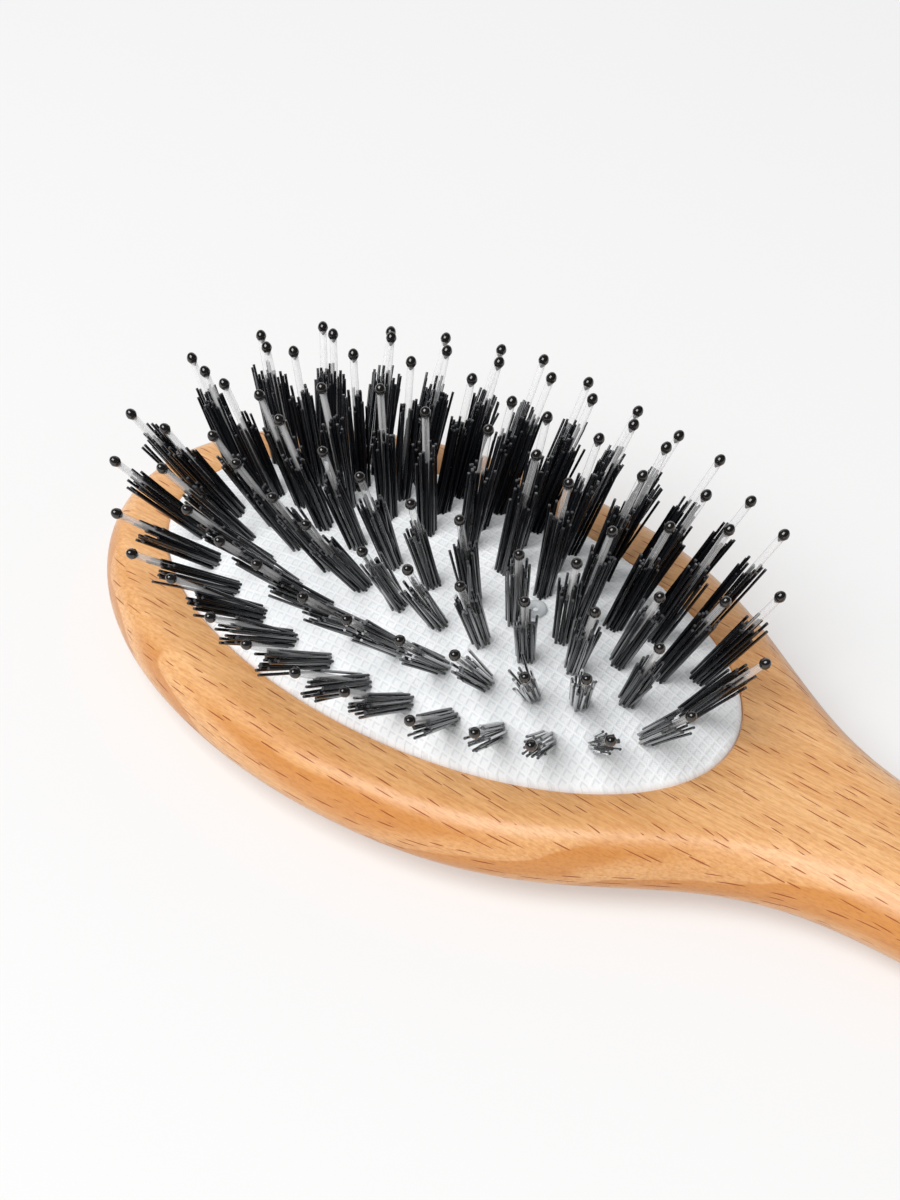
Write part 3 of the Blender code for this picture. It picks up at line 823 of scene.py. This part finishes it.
def pad_face(pad, tufts, half_length, half_width):
    """Starts the pad's bmesh with its crowned face of pressed canvas cells, puckered round the tufts."""
    x_places, x_raised, x_cells = lattice(pad, half_length)
    y_places, y_raised, y_cells = lattice(pad, half_width)
    x, y = np.meshgrid(x_places, y_places, indexing="ij")
    height = crown_height(pad, x, y) + np.maximum(x_raised[:, None], y_raised[None, :]) * pad.relief
    away = np.full(x.shape, np.inf)
    for root, lean in tuft_roots(pad, tufts):
        away = np.minimum(away, np.hypot(x - root.x, y - root.y))
    ridge = np.exp(-(((away - pad.pucker_radius) / (PUCKER_WIDTH_SHARE * pad.pucker_radius)) ** 2))
    hollow = np.clip(1 - away / tufts.tuft_radius, 0, 1)
    height += pad.pucker * ridge - HOLLOW_DEPTH_SHARE * pad.pucker * hollow
    inside = (x / half_length) ** 2 + (y / half_width) ** 2 < INSIDE_SHARE
    bm = bmesh.new()
    weave = bm.verts.layers.float_vector.new("weave")
    verts = {}
    for i, j in zip(*np.nonzero(inside)):
        verts[i, j] = bm.verts.new((x[i, j], y[i, j], height[i, j]))
        verts[i, j][weave] = (x_cells[i], y_cells[j], 0)
    for i, j in verts:
        corners = [(i, j), (i + 1, j), (i + 1, j + 1), (i, j + 1)]
        if all(corner in verts for corner in corners):
            bm.faces.new([verts[corner] for corner in corners])
    loose = [vert for vert in bm.verts if not vert.link_faces]
    bmesh.ops.delete(bm, geom=loose, context="VERTS")
    return bm


def pad_mesh(pad, tufts):
    """Crowned pad, closed underneath its canvas face."""
    a, b = pad.length / 2 - pad.gap, pad.width / 2 - pad.gap
    bm = pad_face(pad, tufts, a, b)
    levels = [(1, 0), (1, -pad.lip)] + [(share, None) for share in UNDERSIDE_SHARES]
    for share, drop in levels:
        edges = [edge for edge in bm.edges if edge.is_boundary]
        made = bmesh.ops.extrude_edge_only(bm, edges=edges)["geom"]
        for vert in (item for item in made if isinstance(item, bmesh.types.BMVert)):
            angle = math.atan2(vert.co.y / b, vert.co.x / a)
            x, y = share * a * math.cos(angle), share * b * math.sin(angle)
            if drop is None:
                vert.co = (x, y, crown_height(pad, x, y) - pad.thickness)
            else:
                vert.co = (x, y, FACE_HEIGHT + drop)
    last = {vert for edge in bm.edges if edge.is_boundary for vert in edge.verts}
    middle = (0, 0, crown_height(pad, 0, 0) - pad.thickness)
    bmesh.ops.pointmerge(bm, verts=list(last), merge_co=middle)
    return mesh_from(bm, PAD_SHARP_ANGLE)


# Geometry node trees for what repeats


def new_tree(name, values):
    """Starts a tree with an input for each value; returns its graph, its inputs and its root points."""
    tree = bpy.data.node_groups.new(name, "GeometryNodeTree")
    tree.interface.new_socket("Roots", in_out="INPUT", socket_type="NodeSocketGeometry")
    for label, value in values.items():
        tree.interface.new_socket(label, in_out="INPUT", socket_type=SOCKETS[type(value)])
    tree.interface.new_socket("Geometry", in_out="OUTPUT", socket_type="NodeSocketGeometry")
    graph = Graph(tree)
    entry = graph.node("NodeGroupInput")
    points = graph.node("GeometryNodeMeshToPoints", inputs={"Mesh": entry.other("Roots")})
    return graph, {label: entry.other(label) for label in values}, points


def end_tree(graph, geometry, material):
    """Realizes the copies, gives them their material and ends the tree."""
    real = graph.node("GeometryNodeRealizeInstances", inputs={"Geometry": geometry})
    smooth = graph.node("GeometryNodeSetShadeSmooth", inputs={0: real})
    dressed = graph.node("GeometryNodeSetMaterial", inputs={"Geometry": smooth, "Material": material})
    graph.feed(graph.tree.nodes.new("NodeGroupOutput"), {"Geometry": dressed})
    return graph.tree


def random_vector(graph, spread, seed, identity=None):
    """Random vector within a spread either way."""
    inputs = {0: (-1, -1, -1), 1: (1, 1, 1), "Seed": seed} | ({"ID": identity} if identity else {})
    dice = graph.node("FunctionNodeRandomValue", {"data_type": "FLOAT_VECTOR"}, inputs)
    return graph.scaled(dice, spread)


def random_number(graph, low, high, seed, identity=None):
    """Random number between two values."""
    inputs = {2: low, 3: high, "Seed": seed} | ({"ID": identity} if identity else {})
    return graph.node("FunctionNodeRandomValue", {"data_type": "FLOAT"}, inputs, output=1)


def root_value(graph, name, kind):
    """Reads what root_points has noted for a tuft."""
    return graph.node("GeometryNodeInputNamedAttribute", {"data_type": kind}, {"Name": name})


def noted(graph, geometry, name, value):
    """Notes a value on the geometry for the shader."""
    inputs = {"Geometry": geometry, "Name": name, "Value": value}
    return graph.node("GeometryNodeStoreNamedAttribute", inputs=inputs)


def moved(graph, geometry, offset):
    """Moves the points of a geometry."""
    return graph.node("GeometryNodeSetPosition", inputs={"Geometry": geometry, "Offset": offset})


def turned_to(graph, direction):
    """Rotation that stands +Z along a direction."""
    return graph.node("FunctionNodeAlignRotationToVector", {"axis": "Z"}, {"Vector": direction})


def rotated(graph, vector, rotation):
    """Turns a vector."""
    return graph.node("FunctionNodeRotateVector", inputs={"Vector": vector, "Rotation": rotation})


def planted(graph, points, copy, heading, scale):
    """Stands a scaled copy on each point, with its +Z along the heading."""
    inputs = {"Points": points, "Instance": copy, "Rotation": turned_to(graph, heading), "Scale": scale}
    return graph.node("GeometryNodeInstanceOnPoints", inputs=inputs)


def strands(graph, given, points, heading, length, bend, sides):
    """Grows a closed round strand on each point and ends the tree with them."""
    sunk = moved(graph, points, graph.scaled(heading, given["Root depth"] * -1))
    line = graph.node("GeometryNodeCurvePrimitiveLine", inputs={"Start": (0, 0, 0), "End": (0, 0, 1)})
    stretch = graph.joined(1.0, 1.0, length + given["Root depth"])
    copies = planted(graph, sunk, line, heading, stretch)
    real = graph.node("GeometryNodeRealizeInstances", inputs={"Geometry": copies})
    fine = graph.node("GeometryNodeResampleCurve", inputs={"Curve": real, "Count": BRISTLE_POINTS})
    along = graph.node("GeometryNodeSplineParameter")
    which = graph.node("GeometryNodeCurveOfPoint")
    bow = graph.scaled(random_vector(graph, bend, given["Seed"] + 5, which), along * along)
    marked = noted(graph, moved(graph, fine, bow), "along", along)
    marked = noted(graph, marked, "strand", random_number(graph, 0.0, 1.0, given["Seed"] + 6, which))
    profile = graph.node("GeometryNodeCurvePrimitiveCircle", inputs={"Resolution": sides, "Radius": 1.0})
    profile = noted(graph, profile, "around", graph.node("GeometryNodeSplineParameter"))
    thickness = given["Radius"] * (1 - along * TAPER_SHARE)
    tubes = graph.node(
        "GeometryNodeCurveToMesh",
        inputs={"Curve": marked, "Profile Curve": profile, "Scale": thickness, "Fill Caps": True},
    )
    return end_tree(graph, tubes, given["Material"])


def bristle_tree(values):
    """Tree that plants a bundle of bristles on each root."""
    graph, given, points = new_tree("Bristle tufts", values)
    inputs = {"Geometry": points, "Amount": given["Bristles"]}
    copies = graph.node("GeometryNodeDuplicateElements", {"domain": "POINT"}, inputs)
    number = copies.other("Duplicate Index")
    tuft = root_value(graph, "tuft", "FLOAT")
    stand = turned_to(graph, root_value(graph, "lean", "FLOAT_VECTOR"))
    hole = given["Hole share"] * given["Hole share"]
    share = graph.math("SQRT", hole + (1 - hole) * ((number + 0.5) / given["Bristles"]))
    angle = number * GOLDEN_ANGLE + tuft
    flat = graph.joined(share * graph.math("COSINE", angle), share * graph.math("SINE", angle), 0.0)
    offset = rotated(graph, graph.scaled(flat, given["Tuft radius"]), stand)
    wildness = random_number(graph, 0.0, 1.0, given["Seed"] + 3) ** WILD_POWER
    stray = random_vector(graph, given["Stray"] * (1 + wildness * WILD_SHARE), given["Seed"])
    spread = graph.vector("ADD", graph.scaled(flat, given["Flare"]), stray)
    heading = graph.vector("NORMALIZE", rotated(graph, graph.vector("ADD", spread, (0, 0, 1)), stand))
    chance = random_number(graph, -0.5, 0.5, given["Seed"] + 1)
    tuft_chance = random_number(graph, -0.5, 0.5, given["Seed"] + 2, tuft)
    length = given["Length"] + given["Unevenness"] * (chance + tuft_chance * TUFT_UNEVENNESS_SHARE)
    roots = moved(graph, copies, offset)
    return strands(graph, given, roots, heading, length, given["Bend"], BRISTLE_SIDES)


def pin_parts(graph, given):
    """Heading and length of each tuft's pin."""
    stray = random_vector(graph, given["Stray"], given["Seed"])
    lean = root_value(graph, "lean", "FLOAT_VECTOR")
    away = graph.split(lean)[1]
    back = graph.math("MINIMUM", away, 0.0) ** NEAR_POWER * given["Near ease"]
    eased = graph.vector("ADD", lean, graph.joined(0.0, back, 0.0))
    heading = graph.vector("NORMALIZE", graph.vector("ADD", eased, stray))
    chance = random_number(graph, -0.5, 0.5, given["Seed"] + 1)
    extra = graph.math("MAXIMUM", away, 0.0) * given["Far extra"]
    return heading, given["Length"] + given["Unevenness"] * chance + extra


def pin_tree(values):
    """Tree that stands one clear pin in each tuft."""
    graph, given, points = new_tree("Clear pins", values)
    heading, length = pin_parts(graph, given)
    return strands(graph, given, points, heading, length, 0.0, PIN_SIDES)


def ball_tree(values):
    """Tree that puts an olive-shaped ball on the end of each pin."""
    graph, given, points = new_tree("Ball tips", values)
    heading, length = pin_parts(graph, given)
    tips = moved(graph, points, graph.scaled(heading, length))
    ball = graph.node(
        "GeometryNodeMeshUVSphere", inputs={"Segments": BALL_SEGMENTS, "Rings": BALL_RINGS, "Radius": 1.0}
    )
    x, y, z = graph.split(graph.node("GeometryNodeInputPosition"))
    taper = 1 - graph.ramp(z, 0.1, -1.0) * BALL_TAPER_SHARE
    shaped = graph.joined(x * taper, y * taper, z * given["Ball stretch"])
    olive = graph.node("GeometryNodeSetPosition", inputs={"Geometry": ball, "Position": shaped})
    scale = graph.joined(*[given["Ball radius"]] * 3)
    return end_tree(graph, planted(graph, tips, olive, heading, scale), given["Material"])


def root_points(pad, tufts):
    """Mesh of the tuft roots, which carries each tuft's lean and number."""
    roots = tuft_roots(pad, tufts)
    mesh = bpy.data.meshes.new("roots")
    mesh.from_pydata([root for root, lean in roots], [], [])
    own = np.random.default_rng(tufts.seed).uniform(-tufts.wander, tufts.wander, (len(roots), 3))
    own[:, 2] = 0
    leans = mesh.attributes.new("lean", "FLOAT_VECTOR", "POINT")
    leans.data.foreach_set("vector", (np.array([lean for root, lean in roots]) + own).ravel())
    numbers = mesh.attributes.new("tuft", "FLOAT", "POINT")
    numbers.data.foreach_set("value", list(range(len(roots))))
    return mesh


def labelled(settings, *names):
    """Some of the settings, under the labels that the panel shows."""
    properties = settings.bl_rna.properties
    return {properties[name].name: getattr(settings, name) for name in names}


def grown(name, plan, points, values, material):
    """Plans a tree for the values and runs it on the roots, for a plain piece."""
    values = {**values, "Material": material}
    tree = plan(values)
    source = linked("source", points)
    modifier = source.modifiers.new("grow", "NODES")
    modifier.node_group = tree
    for item in tree.interface.items_tree:
        if item.name in values:
            modifier[item.identifier] = values[item.name]
    graph = bpy.context.evaluated_depsgraph_get()
    mesh = bpy.data.meshes.new_from_object(source.evaluated_get(graph))
    bpy.data.objects.remove(source)
    return finished(name, mesh, material)


# Operators


class HAIRBRUSH_OT_body(bpy.types.Operator):
    """Makes the beech head and handle"""

    bl_idname = "hairbrush.body"
    bl_label = "Beech body"

    def execute(self, context):
        scene = context.scene
        mesh = body_mesh(scene.brush_body, scene.brush_pad)
        body = finished("beech_body", mesh, beech_material(scene.brush_body))
        cut(body, pocket_mesh(scene.brush_body, scene.brush_pad))
        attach(body, HELD_BODY)
        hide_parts("wood_body")
        return {"FINISHED"}


class HAIRBRUSH_OT_pad(bpy.types.Operator):
    """Makes the crowned canvas pad and the bead that holds it"""

    bl_idname = "hairbrush.pad"
    bl_label = "Canvas pad"

    def execute(self, context):
        scene = context.scene
        pad = scene.brush_pad
        canvas = canvas_material(pad)
        cushion = finished("canvas_pad", pad_mesh(pad, scene.brush_tufts), canvas)
        bead = finished("pad_bead", bead_mesh(pad), canvas)
        for piece in (cushion, bead):
            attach(piece, HELD_BODY)
        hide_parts("pad_rim")
        keep = 1 - PRESS_TRAVEL / pad.crown
        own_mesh(cushion)
        return {"FINISHED"}


class HAIRBRUSH_OT_vent(bpy.types.Operator):
    """Makes the small air vent in the pad"""

    bl_idname = "hairbrush.vent"
    bl_label = "Air vent"

    def execute(self, context):
        vent = finished("vent_plug", vent_mesh(), vent_material())
        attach(vent, PRESSED_BODY)
        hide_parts("air_vent")
        return {"FINISHED"}


class HAIRBRUSH_OT_bristles(bpy.types.Operator):
    """Grows the tufts of black bristles"""

    bl_idname = "hairbrush.bristles"
    bl_label = "Bristle tufts"

    def execute(self, context):
        scene = context.scene
        tufts = scene.brush_tufts
        values = labelled(
            tufts, "count", "tuft_radius", "hole_share", "radius", "length", "unevenness", "flare", "stray",
            "bend", "root_depth", "seed",
        )
        roots = root_points(scene.brush_pad, tufts)
        bristles = grown("bristle_tufts", bristle_tree, roots, values, nylon_material())
        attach(bristles, PRESSED_BODY)
        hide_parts(*TUFT_NODES)
        return {"FINISHED"}


class HAIRBRUSH_OT_pins(bpy.types.Operator):
    """Stands a clear pin with a ball tip in each tuft"""

    bl_idname = "hairbrush.pins"
    bl_label = "Ball-tipped pins"

    def execute(self, context):
        scene = context.scene
        values = labelled(
            scene.brush_pins, "radius", "length", "unevenness", "far_extra", "near_ease", "stray",
            "ball_radius", "ball_stretch", "seed",
        )
        values |= labelled(scene.brush_tufts, "root_depth")
        roots = root_points(scene.brush_pad, scene.brush_tufts)
        shafts = grown("clear_pins", pin_tree, roots, values, clear_material())
        balls = grown("ball_tips", ball_tree, roots, values, ball_material())
        for piece in (shafts, balls):
            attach(piece, PRESSED_BODY)
        return {"FINISHED"}


class HAIRBRUSH_OT_stage(bpy.types.Operator):
    """Sets the floor, the lamps and the camera"""

    bl_idname = "hairbrush.stage"
    bl_label = "Stage"

    def execute(self, context):
        stage = context.scene.brush_stage
        make_floor(stage)
        make_lights(stage)
        make_camera(stage)
        return {"FINISHED"}


def make_floor(stage):
    """Wide pale floor that the brush lies on."""
    bm = bmesh.new()
    place = Matrix.Translation((0, 0, -FLOOR_GAP))
    bmesh.ops.create_grid(bm, x_segments=1, y_segments=1, size=FLOOR_HALF_SIDE, matrix=place)
    mesh = bpy.data.meshes.new("floor")
    bm.to_mesh(mesh)
    bm.free()
    floor = finished("floor", mesh, floor_material(stage))


def add_lamp(name, place_and_size, power, for_highlights):
    """Adds a lamp that faces the brush, and can light nothing but its highlights."""
    place, size = place_and_size
    lamp = bpy.data.lights.new(name, "AREA")
    lamp.shape = "RECTANGLE"
    lamp.size, lamp.size_y = size
    lamp.energy = power
    holder = linked(name, lamp)
    holder.location = place
    holder.rotation_euler = Vector(place).to_track_quat("Z", "Y").to_euler()
    holder.visible_camera = False
    holder.visible_diffuse = not for_highlights


def make_lights(stage):
    """Soft main lamp, a pale backdrop for the highlights and even white light all round."""
    add_lamp("key", KEY_LAMP, stage.key_power, False)
    add_lamp("backdrop", BACKDROP_LAMP, stage.backdrop_power, True)
    world = bpy.data.worlds.new("studio")
    world.use_nodes = True
    graph = Graph(world.node_tree)
    seen = graph.node("ShaderNodeLightPath", output="Is Camera Ray")
    graph.feed(world.node_tree.nodes["Background"], {
        "Color": WHITE,
        "Strength": seen * (BACKGROUND - stage.sky_strength) + stage.sky_strength,
    })
    bpy.context.scene.world = world
    world.cycles_visibility.glossy = False
    bpy.context.scene.view_settings.view_transform = "Standard"


def make_camera(stage):
    """Camera at the photograph's viewing angle."""
    turn = Matrix.Rotation(stage.azimuth, 4, "Z")
    turn @= Matrix.Rotation(math.pi / 2 - stage.elevation, 4, "X")
    turn @= Matrix.Rotation(stage.roll, 4, "Z")
    back = Matrix.Translation((0, 0, stage.distance))
    camera = linked("camera", bpy.data.cameras.new("camera"))
    camera.data.lens = stage.lens
    camera.matrix_world = Matrix.Translation(stage.target) @ turn @ back
    bpy.context.scene.camera = camera


class HAIRBRUSH_PT_panel(bpy.types.Panel):
    """Lists the brush's sizes and the operators that make its pieces"""

    bl_label = "Cushion Hairbrush"
    bl_space_type = "VIEW_3D"
    bl_region_type = "UI"
    bl_category = "Hairbrush"

    def draw(self, context):
        for group, kind, operators in SECTIONS:
            box = self.layout.box()
            for name in kind.__annotations__:
                box.prop(getattr(context.scene, group), name)
            for operator in operators:
                box.operator(operator.bl_idname)


SECTIONS = (
    ("brush_stage", StageSettings, (HAIRBRUSH_OT_stage,)),
    ("brush_body", BodySettings, (HAIRBRUSH_OT_body,)),
    ("brush_pad", PadSettings, (HAIRBRUSH_OT_pad, HAIRBRUSH_OT_vent)),
    ("brush_tufts", TuftSettings, (HAIRBRUSH_OT_bristles,)),
    ("brush_pins", PinSettings, (HAIRBRUSH_OT_pins,)),
)


def register():
    """Registers the settings, operators and panel."""
    for group, kind, operators in SECTIONS:
        bpy.utils.register_class(kind)
        setattr(bpy.types.Scene, group, PointerProperty(type=kind))
        for operator in operators:
            bpy.utils.register_class(operator)
    bpy.utils.register_class(HAIRBRUSH_PT_panel)


def unregister():
    """Takes out what register put in."""
    bpy.utils.unregister_class(HAIRBRUSH_PT_panel)
    for group, kind, operators in reversed(SECTIONS):
        for operator in reversed(operators):
            bpy.utils.unregister_class(operator)
        delattr(bpy.types.Scene, group)
        bpy.utils.unregister_class(kind)


def main():
    """Makes every piece."""
    register()
    bpy.ops.hairbrush.stage()
    bpy.ops.hairbrush.body()
    bpy.ops.hairbrush.pad()
    bpy.ops.hairbrush.vent()
    bpy.ops.hairbrush.bristles()
    bpy.ops.hairbrush.pins()


if __name__ == "__main__":
    main()
